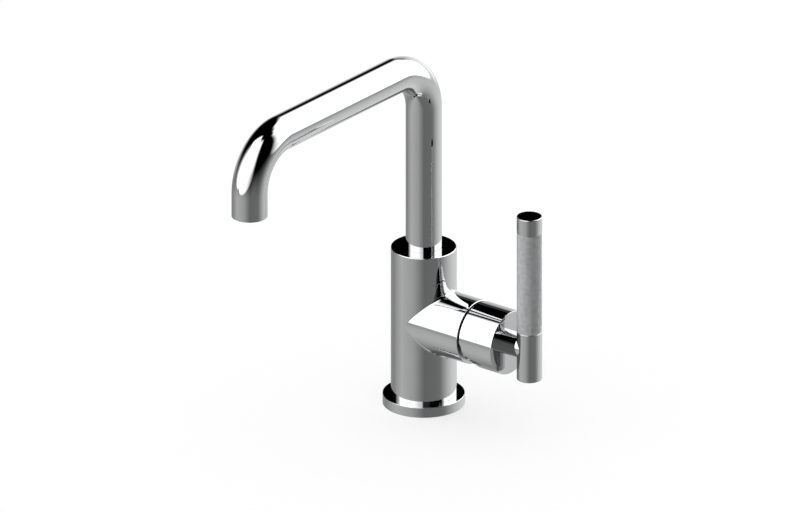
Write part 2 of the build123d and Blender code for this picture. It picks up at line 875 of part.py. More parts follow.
def handle_barrel():
    """The rod's polished lower end, with the stub's cross hole and the grip's centring."""
    barrel = turned(
        (0, barrel_bottom),
        (rod_radius - rod_edge, barrel_bottom),
        (rod_radius, barrel_bottom + rod_edge),
        (rod_radius, barrel_top - grip_edge),
        (rod_radius - grip_edge, barrel_top),
        (centring_radius, barrel_top),
        (centring_radius, barrel_top + centring_height),
        (0, barrel_top + centring_height),
    )
    barrel = Pos(rod_x, 0, 0) * barrel
    barrel -= upright(
        barrel_top - grip_stud_depth - seat_clearance,
        barrel_top + centring_height,
        grip_stud_radius + thread_clearance,
        rod_x,
    )
    screw_hole = barrel_screw_radius + thread_clearance
    barrel -= upright(barrel_bottom, axis_z - stub_spigot_radius, screw_hole, rod_x)
    return barrel - level(
        rod_x - rod_diameter,
        rod_x + stub_spigot_beyond + seat_clearance,
        stub_spigot_radius + thread_clearance,
    )


def barrel_grub_screw():
    """Locks the stub's spigot from the rod's lower end."""
    top = axis_z - stub_spigot_radius - seat_clearance
    bottom = top - barrel_screw_length
    screw = upright(bottom, top, barrel_screw_radius, rod_x)
    return screw - Pos(rod_x, 0, bottom) * Rot(180, 0, 0) * key_socket(
        stop_key_across, stop_key_depth
    )


def grip_stud():
    top = grip_top + end_cap_length - end_cap_floor
    return upright(barrel_top - grip_stud_depth, top, grip_stud_radius, rod_x)


def knurled_grip():
    radius = grip_diameter / 2
    sleeve = turned(
        (grip_bore / 2, barrel_top),
        (radius - grip_edge, barrel_top),
        (radius, barrel_top + grip_edge),
        (radius, grip_top - grip_edge),
        (radius - grip_edge, grip_top),
        (grip_bore / 2, grip_top),
    )
    return Pos(rod_x, 0, 0) * sleeve


def grip_end_cap():
    cap = turned(
        (0, grip_top - centring_height),
        (centring_radius, grip_top - centring_height),
        (centring_radius, grip_top),
        (rod_radius - grip_edge, grip_top),
        (rod_radius, grip_top + grip_edge),
        (rod_radius, rod_top - rod_edge),
        (rod_radius - rod_edge, rod_top),
        (0, rod_top),
    )
    hole_top = grip_top + end_cap_length - end_cap_floor + seat_clearance
    hole = upright(
        grip_top - centring_height, hole_top, grip_stud_radius + thread_clearance, rod_x
    )
    return Pos(rod_x, 0, 0) * cap - hole


pieces = [
    base_ring,
    base_gasket,
    body,
    spout_tube,
    spout_nipple,
    spout_o_rings,
    spout_glide_rings,
    swivel_stop_screw,
    outlet_sleeve,
    aerator_housing,
    aerator_jet_plate,
    aerator_screen,
    flow_regulator,
    aerator_washer,
    cartridge_base,
    seat_seals,
    disc_seals,
    fixed_disc,
    moving_disc,
    disc_carrier,
    cartridge_housing,
    rotor,
    rotor_glide_ring,
    spindle,
    spindle_pin,
    cartridge_nut,
    dome_cover,
    lever_cap,
    cap_grub_screw,
    cap_screw_plug,
    handle_stub,
    handle_barrel,
    barrel_grub_screw,
    grip_stud,
    knurled_grip,
    grip_end_cap,
]

os.makedirs("parts", exist_ok=True)
for piece in pieces:
    export_step(piece(), f"parts/{piece.__name__}.step")
print("disc travel per radian of tilt, mm:", round(-2 * disc_offset / radians(tilt_range), 4))
print("disc travel, mm:", round(-2 * disc_offset, 4))
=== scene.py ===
import json
import math

import bmesh
import bpy
from bpy.props import FloatProperty, FloatVectorProperty, IntProperty, PointerProperty
from mathutils import Matrix, Vector


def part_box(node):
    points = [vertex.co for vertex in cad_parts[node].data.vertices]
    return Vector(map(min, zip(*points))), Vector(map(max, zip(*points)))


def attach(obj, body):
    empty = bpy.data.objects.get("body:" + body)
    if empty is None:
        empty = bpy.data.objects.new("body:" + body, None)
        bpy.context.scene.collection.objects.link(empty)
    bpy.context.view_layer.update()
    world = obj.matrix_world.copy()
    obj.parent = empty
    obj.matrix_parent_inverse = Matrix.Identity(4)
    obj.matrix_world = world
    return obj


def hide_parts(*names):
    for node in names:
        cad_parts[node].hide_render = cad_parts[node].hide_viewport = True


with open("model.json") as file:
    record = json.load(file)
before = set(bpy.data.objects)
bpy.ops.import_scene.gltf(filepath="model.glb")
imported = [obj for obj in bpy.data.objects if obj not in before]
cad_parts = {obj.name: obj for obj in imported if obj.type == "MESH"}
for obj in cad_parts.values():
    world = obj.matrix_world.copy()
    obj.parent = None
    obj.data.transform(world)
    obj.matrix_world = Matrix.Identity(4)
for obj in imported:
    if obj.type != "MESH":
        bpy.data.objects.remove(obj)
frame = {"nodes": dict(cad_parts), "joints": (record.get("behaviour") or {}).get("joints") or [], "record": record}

bl_info = {
    "name": "Basin mixer",
    "version": (1, 0, 0),
    "blender": (4, 5, 0),
    "location": "View3D > Sidebar > Mixer",
    "description": "Builds the visible pieces of a single-lever basin mixer, and its studio",
    "category": "Add Mesh",
}

MM = 0.001
X_AXIS = Vector((1, 0, 0))
Y_AXIS = Vector((0, 1, 0))
Z_AXIS = Vector((0, 0, 1))
ORIGIN = Vector((0, 0, 0))
WHITE = (1.0, 1.0, 1.0, 1.0)

# How near a point has to be to a surface or a circle to count as on it, and to another to be merged with it
TOLERANCE = 0.01 * MM
SAME_POINT = 0.001 * MM
# Gap round a grub screw in its hole, how far a cutting shape reaches past the metal, facets of small holes
SCREW_GAP = 0.03 * MM
OVERCUT = 1 * MM
HOLE_STEPS = 48

# Places that follow from the CAD model: the lowest and the highest corner of a node's box
RING_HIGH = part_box("base_ring")[1]
GASKET_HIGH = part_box("base_gasket")[1]
BODY_LOW, BODY_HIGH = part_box("body")
TUBE_LOW, TUBE_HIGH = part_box("spout_tube")
CAP_LOW, CAP_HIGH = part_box("lever_cap")
SCREW_LOW, SCREW_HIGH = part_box("cap_grub_screw")
PLUG_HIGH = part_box("cap_screw_plug")[1]
STUB_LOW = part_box("handle_stub")[0]
BARREL_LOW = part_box("handle_barrel")[0]
BARREL_SCREW_LOW, BARREL_SCREW_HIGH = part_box("barrel_grub_screw")
GRIP_LOW, GRIP_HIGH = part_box("knurled_grip")
END_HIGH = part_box("grip_end_cap")[1]

MOUNTS = {mount["name"]: mount for mount in frame["record"]["mounts"]}
JOINTS = {joint["name"]: joint for joint in frame["joints"]}
OUTLET = Vector(MOUNTS["water_outlet"]["pos_m"])
PIVOT = Vector(JOINTS["lever_tilt"]["pos_m"])
HOUSING_AXIS = Vector((0, 0, PIVOT.z))
MOUTH_AXIS = Vector((0, OUTLET.y, 0))
ROD_AXIS = Vector(((GRIP_LOW.x + GRIP_HIGH.x) / 2, 0, 0))

BODY_RADIUS = -BODY_LOW.x
HOUSING_RADIUS = CAP_HIGH.y
TUBE_RADIUS = TUBE_HIGH.x
ARM_HEIGHT = TUBE_HIGH.z - TUBE_RADIUS
ROD_RADIUS = END_HIGH.x - ROD_AXIS.x
GRIP_RADIUS = GRIP_HIGH.x - ROD_AXIS.x
STUB_RADIUS = PIVOT.z - STUB_LOW.z


def size(name, millimetres, description):
    """A length setting, given in millimetres."""
    return FloatProperty(
        name=name, description=description, default=millimetres * MM, min=0.0, unit="LENGTH", precision=5
    )


def angle(name, degrees, description):
    """An angle setting, given in degrees."""
    return FloatProperty(name=name, description=description, default=math.radians(degrees), subtype="ANGLE")


def share(name, amount, description, most=1.0):
    """A number setting, from 0 to a highest value."""
    return FloatProperty(name=name, description=description, default=amount, min=0.0, max=most)


def count(name, amount, least, most, description):
    """A whole-number setting."""
    return IntProperty(name=name, description=description, default=amount, min=least, max=most)


def colour(name, shade, description):
    """A colour setting."""
    return FloatVectorProperty(
        name=name, description=description, default=shade, subtype="COLOR", min=0.0, max=1.0
    )


class MixerSizes(bpy.types.PropertyGroup):
    """Sizes that the CAD model's boxes don't give"""

    turning_steps: count("Turning steps", 192, 24, 360, "Facets round a full turn of each turned piece")
    bend_steps: count("Bend steps", 48, 8, 120, "Steps along each bend of the spout")
    turned_edge: size("Turned edge", 0.25, "Rounding of the turned edges")
    body_edge: size("Body edge", 0.5, "Rounding of the body's top")
    housing_edge: size("Housing edge", 0.5, "Rounding of the housing's end")
    seam_radius: size("Seam radius", 2.0, "Rounding of the seam between the upright and the housing")
    seam_step: size("Seam step", 0.4, "Spacing of the mesh rings near that seam")
    ring_seat_gap: size("Ring seat gap", 0.06, "Gap between the base ring and the body")
    ring_ledge: size("Ring ledge", 2.0, "Thickness of the ledge that carries the body")
    ring_bore: size("Ring bore", 16.5, "Radius of the hole in the base ring")
    gasket_width: size("Gasket width", 2.5, "Width of the gasket's groove")
    skirt_radius: size("Skirt radius", 17.4, "Inner radius of the hollow foot")
    skirt_height: size("Skirt height", 30.0, "Height of the hollow foot")
    socket_gap: size("Socket gap", 0.08, "Gap round the spout where it enters the body")
    socket_floor: size("Socket floor", 74.0, "Height of the floor of the spout's socket")
    cartridge_bore: size("Cartridge bore", 17.4, "Radius of the bore for the cartridge")
    cartridge_seat: size("Cartridge seat", 14.5, "How far the cartridge's seat is from the upright's axis")
    nut_bore: size("Nut bore", 18.05, "Radius of the thread for the cartridge's nut")
    nut_shoulder: size("Nut shoulder", 37.0, "How far the nut's inner end is from the upright's axis")
    tube_wall: size("Tube wall", 1.5, "Wall thickness of the spout tube")
    bend_radius: size("Bend radius", 30.0, "Radius of the spout's bends, on the centreline")
    cap_hollow: size("Cap hollow", 18.55, "Radius of the round hollow in the turning cap")
    wedge_angle: angle("Wedge angle", 28.0, "Slant of the cap's lower back, which lets the lever tilt")
    spindle_lean: angle("Spindle lean", 12.5, "How far the spindle leans from the housing's axis")
    knurl_pitch: size("Knurl pitch", 0.95, "Width of one diamond of the knurl")
    knurl_depth: size("Knurl depth", 0.16, "Depth of the knurl's grooves")
    knurl_flat: size("Knurl flat", 0.18, "Size of the worn tip of each diamond")


class MixerFinish(bpy.types.PropertyGroup):
    """Colours and polish of the mixer's surfaces"""

    chrome: colour("Chrome", (0.615, 0.62, 0.625), "Colour of the polished plating")
    chrome_roughness: share("Chrome roughness", 0.035, "Dullness of the polished plating")
    # Painted shade: how far the plating's colour is darkened in the gap behind the cap
    painted_gap_shade_level: share("Gap brightness", 0.3, "Brightness of the plating in the gap behind the cap")
    knurl_chrome: colour("Knurl chrome", (0.45, 0.455, 0.46), "Colour of the satin plating on the knurl")
    knurl_roughness: share("Knurl roughness", 0.55, "Dullness of the plating on the knurl")
    steel: colour("Steel", (0.62, 0.63, 0.64), "Colour of the turned steel screws")
    brass: colour("Brass", (0.72, 0.55, 0.27), "Colour of the machined brass")
    white_plastic: colour("White plastic", (0.78, 0.78, 0.75), "Colour of the cartridge's mouldings")
    black_plastic: colour("Black plastic", (0.022, 0.022, 0.024), "Colour of the dark mouldings")
    grey_plastic: colour("Grey plastic", (0.3, 0.31, 0.32), "Colour of the aerator's mouldings")
    ceramic: colour("Ceramic", (0.85, 0.84, 0.8), "Colour of the lapped discs")
    rubber: colour("Rubber", (0.016, 0.016, 0.016), "Colour of the seals")


class StudioSettings(bpy.types.PropertyGroup):
    """The photograph's view, and the light round the mixer"""

    azimuth: angle("Azimuth", 38.25, "Turn of the camera round the mixer")
    elevation: angle("Elevation", 23.07, "Height of the camera above the horizon")
    view_width: size("View width", 484.8, "Width of what the camera sees")
    centre_left: size("Centre left", 14.39, "How far the view's centre is left of the origin")
    centre_up: size("Centre up", 88.36, "How far the view's centre is above the origin")
    camera_distance: size("Camera distance", 2000.0, "Distance of the camera from the mixer")
    floor_width: size("Floor width", 20000.0, "Width of the plain floor")
    floor_shadow: share("Floor shadow", 0.5, "Share of the floor's white that the mixer can shade")
    card_distance: size("Card distance", 600.0, "How far in front of the mixer the dark card stands")
    card_left: size("Card left", 65.0, "How far the card reaches to the left of the mixer's axis")
    card_right: size("Card right", 220.0, "How far the card reaches to the right of the mixer's axis")
    card_edge: size("Card edge", 55.0, "Width of the card's soft left edge")
    card_top: size("Card top", 700.0, "Height of the card's top")
    edge_level: share("Edge level", 1.67, "Strength of the two large lights near their soft edges", 10.0)
    light_level: share("Light level", 2.7, "Strength of the two large lights inside their soft edges", 10.0)


def sizes():
    return bpy.context.scene.mixer_sizes


def finish():
    return bpy.context.scene.mixer_finish


def studio():
    return bpy.context.scene.mixer_studio


# Node trees and finishes


class NodeMaker:
    """Adds nodes to one tree, and links or sets their inputs."""

    def __init__(self, tree):
        self.tree = tree

    def add(self, kind, inputs=None, **settings):
        node = self.tree.nodes.new(kind)
        for name, value in settings.items():
            setattr(node, name, value)
        self.fill(node, inputs or {})
        return node

    def fill(self, node, inputs):
        """Links each named or numbered input of a node to an output, or sets the input's own value."""
        for name, value in inputs.items():
            if isinstance(value, bpy.types.NodeSocket):
                self.tree.links.new(value, node.inputs[name])
            else:
                node.inputs[name].default_value = value

    def math(self, operation, *values):
        return self.add("ShaderNodeMath", dict(enumerate(values)), operation=operation).outputs[0]

    def vector_math(self, operation, *values):
        """The vector and the number that come out of a sum of vectors."""
        return self.add("ShaderNodeVectorMath", dict(enumerate(values)), operation=operation).outputs

    def parts(self, vector):
        """The X, Y and Z of a vector."""
        return self.add("ShaderNodeSeparateXYZ", {0: vector}).outputs

    def apart(self, value, mark):
        """How far a value is from a mark, to either side."""
        return self.math("ABSOLUTE", self.math("SUBTRACT", value, mark))

    def fade(self, value, start, end):
        """A soft step from 0 at start to 1 at end; start may be the higher one."""
        inputs = {"Value": value, "From Min": start, "From Max": end}
        return self.add("ShaderNodeMapRange", inputs, interpolation_type="SMOOTHSTEP").outputs["Result"]

    def product(self, *values):
        result = values[0]
        for value in values[1:]:
            result = self.math("MULTIPLY", result, value)
        return result

    def between(self, factor, low, high):
        """A number that goes from low to high with a factor."""
        return self.add("ShaderNodeMix", {0: factor, 2: low, 3: high}, data_type="FLOAT").outputs[0]

    def blend(self, factor, first, second):
        """A colour that goes from the first to the second with a factor."""
        return self.add("ShaderNodeMix", {0: factor, 6: first, 7: second}, data_type="RGBA").outputs[2]

    def noise(self, place, grain, detail=3.0):
        """Noise whose lumps have a real size, in metres."""
        inputs = {"Vector": place, "Scale": 1.0 / grain, "Detail": detail}
        return self.add("ShaderNodeTexNoise", inputs).outputs["Fac"]


# Shader values that several materials share
METAL = {"Metallic": 1.0}
PLATING = {"Metallic": 1.0, "Specular Tint": (0.9, 0.9, 0.9, 1.0)}
GLOWING = {"Roughness": 1.0, "Specular IOR Level": 0.0, "Emission Color": WHITE}


def new_material(name, given):
    """A material with some shader values, its node maker, its shader and its object coordinates."""
    material = bpy.data.materials.new(name)
    material.use_nodes = True
    nodes = NodeMaker(material.node_tree)
    shader = material.node_tree.nodes["Principled BSDF"]
    nodes.fill(shader, given)
    place = nodes.add("ShaderNodeTexCoord").outputs["Object"]
    return material, nodes, shader, place


def shaded(tint, amount):
    """A colour made darker, with its alpha."""
    return (tint[0] * amount, tint[1] * amount, tint[2] * amount, 1.0)


def add_bump(nodes, shader, height, strength, depth):
    bump = nodes.add("ShaderNodeBump", {"Height": height, "Strength": strength, "Distance": depth})
    nodes.fill(shader, {"Normal": bump.outputs["Normal"]})


def painted_gap_shade_mask(nodes, place):
    """Where shade is painted into the plating: 1 in the upper part of the gap between the housing and the turning
    cap, and 0 outside it.
    """
    end_depth = 0.1 * MM
    rim_depth = 0.4 * MM
    low, high = 46 * MM, 54 * MM
    parts = nodes.parts(place)
    arm = nodes.vector_math("MULTIPLY_ADD", place, Vector((0, 1, 1)), -HOUSING_AXIS)["Vector"]
    radius = nodes.vector_math("LENGTH", arm)["Value"]
    return nodes.product(
        nodes.fade(parts["X"], BODY_HIGH.x - end_depth, BODY_HIGH.x),
        nodes.fade(parts["X"], CAP_LOW.x + end_depth, CAP_LOW.x),
        nodes.fade(radius, HOUSING_RADIUS, HOUSING_RADIUS - rim_depth),
        nodes.fade(parts["Z"], low, high),
    )


def polished_chrome(name):
    """Bright plating, whose polish has faint wipe marks; shade is painted into its colour in the gap behind the
    cap.
    """
    material, nodes, shader, place = new_material(name, PLATING)
    tint = finish().chrome
    dullness = finish().chrome_roughness
    smears = nodes.fade(nodes.noise(place, 14 * MM, 5.0), 0.35, 0.75)
    plating = nodes.blend(smears, shaded(tint, 1.0), shaded(tint, 0.975))
    # Painted shade: the plating's colour is darkened in the upper part of the gap behind the cap
    painted_gap_shade = shaded(tint, finish().painted_gap_shade_level)
    plating = nodes.blend(painted_gap_shade_mask(nodes, place), plating, painted_gap_shade)
    roughness = nodes.between(smears, 0.6 * dullness, 1.4 * dullness)
    nodes.fill(shader, {"Base Color": plating, "Roughness": roughness})
    return material


def knurled_chrome(name):
    """Satin plating over a cut knurl, with a little grime."""
    material, nodes, shader, place = new_material(name, METAL)
    tint = finish().knurl_chrome
    dullness = finish().knurl_roughness
    patches = nodes.noise(place, 2.5 * MM, 4.0)
    grime = nodes.fade(patches, 0.4, 0.7)
    plating = nodes.blend(grime, shaded(tint, 1.0), shaded(tint, 0.9))
    roughness = nodes.between(patches, 0.8 * dullness, 1.3 * dullness)
    nodes.fill(shader, {"Base Color": plating, "Roughness": roughness})
    return material


def machined_metal(name, tint_name, dullness):
    """Turned or drawn metal with fine tool marks."""
    material, nodes, shader, place = new_material(name, METAL)
    tint = getattr(finish(), tint_name)
    marks = nodes.noise(place, 0.4 * MM, 2.0)
    metal = nodes.blend(marks, shaded(tint, 1.0), shaded(tint, 0.85))
    nodes.fill(shader, {"Base Color": metal, "Roughness": nodes.between(marks, dullness, dullness + 0.15)})
    add_bump(nodes, shader, marks, 0.2, 0.02 * MM)
    return material


def moulded(name, tint_name, dullness):
    """Moulded plastic, rubber or fired ceramic, with a fine grain and slightly uneven colour."""
    material, nodes, shader, place = new_material(name, {})
    tint = getattr(finish(), tint_name)
    grain = nodes.noise(place, 0.35 * MM, 2.0)
    clouds = nodes.noise(place, 8 * MM, 3.0)
    mass = nodes.blend(clouds, shaded(tint, 1.0), shaded(tint, 0.88))
    nodes.fill(shader, {"Base Color": mass, "Roughness": nodes.between(clouds, dullness, dullness + 0.1)})
    add_bump(nodes, shader, grain, 0.25, 0.01 * MM)
    return material


# For each of the record's material slots: how its finish is made, its name, its colour and its dullness
SLOT_FINISHES = {
    "chrome_plating": (polished_chrome, "polished_chrome"),
    "chrome_knurl": (knurled_chrome, "knurled_chrome"),
    "stainless_steel": (machined_metal, "turned_steel", "steel", 0.22),
    "brass_metal": (machined_metal, "turned_brass", "brass", 0.26),
    "cartridge_plastic": (moulded, "white_moulding", "white_plastic", 0.4),
    "dark_plastic": (moulded, "black_moulding", "black_plastic", 0.45),
    "grey_plastic": (moulded, "grey_moulding", "grey_plastic", 0.4),
    "ceramic_disc": (moulded, "lapped_ceramic", "ceramic", 0.12),
    "seal_rubber": (moulded, "black_rubber", "rubber", 0.6),
}


def slot_material(slot):
    """The finish of one of the record's material slots, made when it is first asked for."""
    make, name, *look = SLOT_FINISHES[slot]
    return bpy.data.materials.get(name) or make(name, *look)


# True surfaces. Each gives, for a point, its distance from the surface and the surface's normal there.


def round_bar(radius, through, axis):
    """The surface of a cylinder."""

    def measure(point):
        arm = point - through
        arm = arm - axis * arm.dot(axis)
        return arm.length - radius, arm.normalized()

    return measure


def round_bend(radius, centre, axis, bend):
    """The surface of a bent round bar."""

    def measure(point):
        arm = point - centre
        flat = arm - axis * arm.dot(axis)
        arm = arm - flat.normalized() * bend
        return arm.length - radius, arm.normalized()

    return measure


def round_ball(radius, centre):
    """The surface of a ball."""

    def measure(point):
        arm = point - centre
        return arm.length - radius, arm.normalized()

    return measure


def rounded_joint(first, second, radius, is_near):
    """The surface of two joined shapes, with their corner rounded as by a ball that rolls along both."""

    def measure(point):
        height_1, normal_1 = first(point)
        height_2, normal_2 = second(point)
        if not is_near(point):
            return height_1, normal_1
        lean = normal_1.dot(normal_2)
        spread = max(1 - lean * lean, 0.0001)
        depth_1 = radius - height_1
        depth_2 = radius - height_2
        share_1 = (depth_1 - depth_2 * lean) / spread
        share_2 = (depth_2 - depth_1 * lean) / spread
        if min(depth_1, depth_2, share_1, share_2) > 0:
            arm = normal_1 * share_1 + normal_2 * share_2
            return radius - arm.length, arm.normalized()
        if height_1 < height_2:
            return height_1, normal_1
        return height_2, normal_2

    return measure


def surface_of(face, surfaces):
    """The true surface on which a face lies, or None where it lies on none of them."""
    for measure in surfaces:
        if all(abs(measure(vert.co)[0]) < TOLERANCE for vert in face.verts):
            if abs(measure(face.calc_center_median())[1].dot(face.normal)) > 0.9:
                return measure
    return None


def corner_normals(shape, surfaces):
    """Normals of all face corners: true ones on true surfaces, flat ones on flats, smooth ones between."""
    owners = {face: surface_of(face, surfaces) for face in shape.faces}

    def own_normal(face, vert):
        if owners[face] is None:
            return face.normal.copy()
        normal = owners[face](vert.co)[1]
        return normal if normal.dot(face.normal) > 0 else -normal

    def is_settled(face):
        return owners[face] is not None or not face.smooth

    normals = []
    for face in shape.faces:
        for vert in (loop.vert for loop in face.loops):
            if is_settled(face):
                normals.append(own_normal(face, vert))
                continue
            settled = [own_normal(other, vert) for other in vert.link_faces if is_settled(other)]
            normals.append(max(settled, key=face.normal.dot) if settled else vert.normal.copy())
    return normals


# Shapes


def in_fixed_order(shape):
    """Sorts points, edges and faces by place, because a boolean's own order differs from run to run."""

    def corners(item):
        return sorted(vert.index for vert in item.verts)

    def place(vert):
        return vert.co[:]

    for items, key in ((shape.verts, place), (shape.edges, corners), (shape.faces, corners)):
        for index, item in enumerate(sorted(items, key=key)):
            item.index = index
        items.sort()
    return shape


def closed_up(shape):
    """Merges doubled points and turns the faces outwards."""
    bmesh.ops.remove_doubles(shape, verts=shape.verts, dist=SAME_POINT)
    bmesh.ops.dissolve_degenerate(shape, dist=SAME_POINT / 2, edges=shape.edges)
    bmesh.ops.recalc_face_normals(shape, faces=shape.faces)
    return shape


def about_x(through):
    """Lays a piece that was turned about Z along X."""
    return Matrix.Translation(through) @ Matrix.Rotation(math.pi / 2, 4, "Y")


def only(items, kind):
    """Those of some bmesh items that are of one kind."""
    return [item for item in items if isinstance(item, kind)]


def each_once(items):
    """The items without repeats, in an order that is the same each run."""
    return list(dict.fromkeys(items))


def spun(shape, geom, centre, axis, sweep, steps, is_closed):
    """Turns a line about an axis, and returns what lies at the turn's end."""
    result = bmesh.ops.spin(
        shape, geom=geom, cent=centre, axis=axis, dvec=(0, 0, 0), angle=sweep, steps=steps,
        use_merge=is_closed, use_normal_flip=False, use_duplicate=False,
    )
    return result["geom_last"]


def even_steps(low, high, spacing):
    """Numbers from low to high at an even spacing."""
    steps = math.ceil((high - low) / spacing)
    return [low + (high - low) * step / steps for step in range(steps + 1)]


def turned(outline, place, steps=None):
    """A solid turned about Z from an outline of (radius, height), and then put in its place."""
    shape = bmesh.new()
    points = [shape.verts.new((radius, 0, height)) for radius, height in outline]
    edges = [shape.edges.new(pair) for pair in zip(points, points[1:])]
    if outline[0][0] > 0 and outline[-1][0] > 0:
        edges.append(shape.edges.new((points[-1], points[0])))
    spun(shape, points + edges, ORIGIN, Z_AXIS, 2 * math.pi, steps or sizes().turning_steps, True)
    for face in shape.faces:
        face.smooth = False
    bmesh.ops.transform(shape, matrix=place, verts=shape.verts)
    return closed_up(shape)


def bevelled(shape, geom, offset, steps, kind):
    """Bevels edges or vertices, and returns the new faces."""
    result = bmesh.ops.bevel(
        shape, geom=geom, offset=offset, offset_type="OFFSET", segments=steps, profile=0.5,
        affect=kind, clamp_overlap=True, material=-1,
    )
    return result["faces"]


def round_edges(shape, chosen, radius, steps=3):
    """Rounds the edges that a test picks."""
    edges = [edge for edge in shape.edges if chosen(edge)]
    if not edges:
        raise RuntimeError("there is no edge to round")
    for face in bevelled(shape, edges, radius, steps, "EDGES"):
        face.smooth = True
    return shape


def round_rim(shape, radius, height, rounding, steps=3, through=ORIGIN, axis=Z_AXIS):
    """Rounds the edges that run round one circle about an axis."""

    def lies_on_it(vert):
        arm = vert.co - through
        along = arm.dot(axis)
        return abs(along - height) < TOLERANCE and abs((arm - axis * along).length - radius) < TOLERANCE

    return round_edges(shape, lambda edge: all(lies_on_it(vert) for vert in edge.verts), rounding, steps)


def as_object(shape, name):
    mesh = bpy.data.meshes.new(name)
    shape.to_mesh(mesh)
    shape.free()
    holder = bpy.data.objects.new(name, mesh)
    bpy.context.collection.objects.link(holder)
    return holder


def combined(shape, other, operation):
    """Joins two closed shapes, or cuts the second out of the first."""
    holders = [as_object(shape, "first_part"), as_object(other, "second_part")]
    modifier = holders[0].modifiers.new("combine", "BOOLEAN")
    modifier.operation = operation
    modifier.solver = "EXACT"
    modifier.object = holders[1]
    result = bmesh.new()
    result.from_object(holders[0], bpy.context.evaluated_depsgraph_get())
    for holder in holders:
        mesh = holder.data
        bpy.data.objects.remove(holder)
        bpy.data.meshes.remove(mesh)
    return closed_up(in_fixed_order(result))


def finished_piece(shape, name, body, node, surfaces=(), slot="chrome_plating"):
    """Makes a shape a piece of the mixer that rides on its body and stands for its CAD node."""
    shape.normal_update()
    normals = corner_normals(shape, surfaces) if surfaces else None
    piece = as_object(shape, name)
    if normals:
        piece.data.shade_smooth()
        piece.data.normals_split_custom_set(normals)
    piece.data.materials.append(slot_material(slot))
    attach(piece, body)
    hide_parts(node)


# Pieces


class MIXER_OT_base_ring(bpy.types.Operator):
    """Turn the ring that covers the hole in the basin"""

    bl_idname = "mixer.base_ring"
    bl_label = "Base ring"

    def execute(self, context):
        given = sizes()
        outer = RING_HIGH.x
        top = RING_HIGH.z
        seat = BODY_RADIUS + given.ring_seat_gap
        groove = GASKET_HIGH.x
        groove_side = groove - given.gasket_width
        outline = [
            (given.ring_bore, 0), (groove_side, 0), (groove_side, GASKET_HIGH.z), (groove, GASKET_HIGH.z),
            (groove, 0), (outer, 0), (outer, top), (seat, top),
            (seat, given.ring_ledge), (given.ring_bore, given.ring_ledge),
        ]
        shape = turned(outline, Matrix())
        for height in (top, 0):
            round_rim(shape, outer, height, given.turned_edge)
        surfaces = [round_bar(radius, ORIGIN, Z_AXIS) for radius, height in outline]
        finished_piece(shape, "base_ring_turned", "body", "base_ring", surfaces)
        return {"FINISHED"}


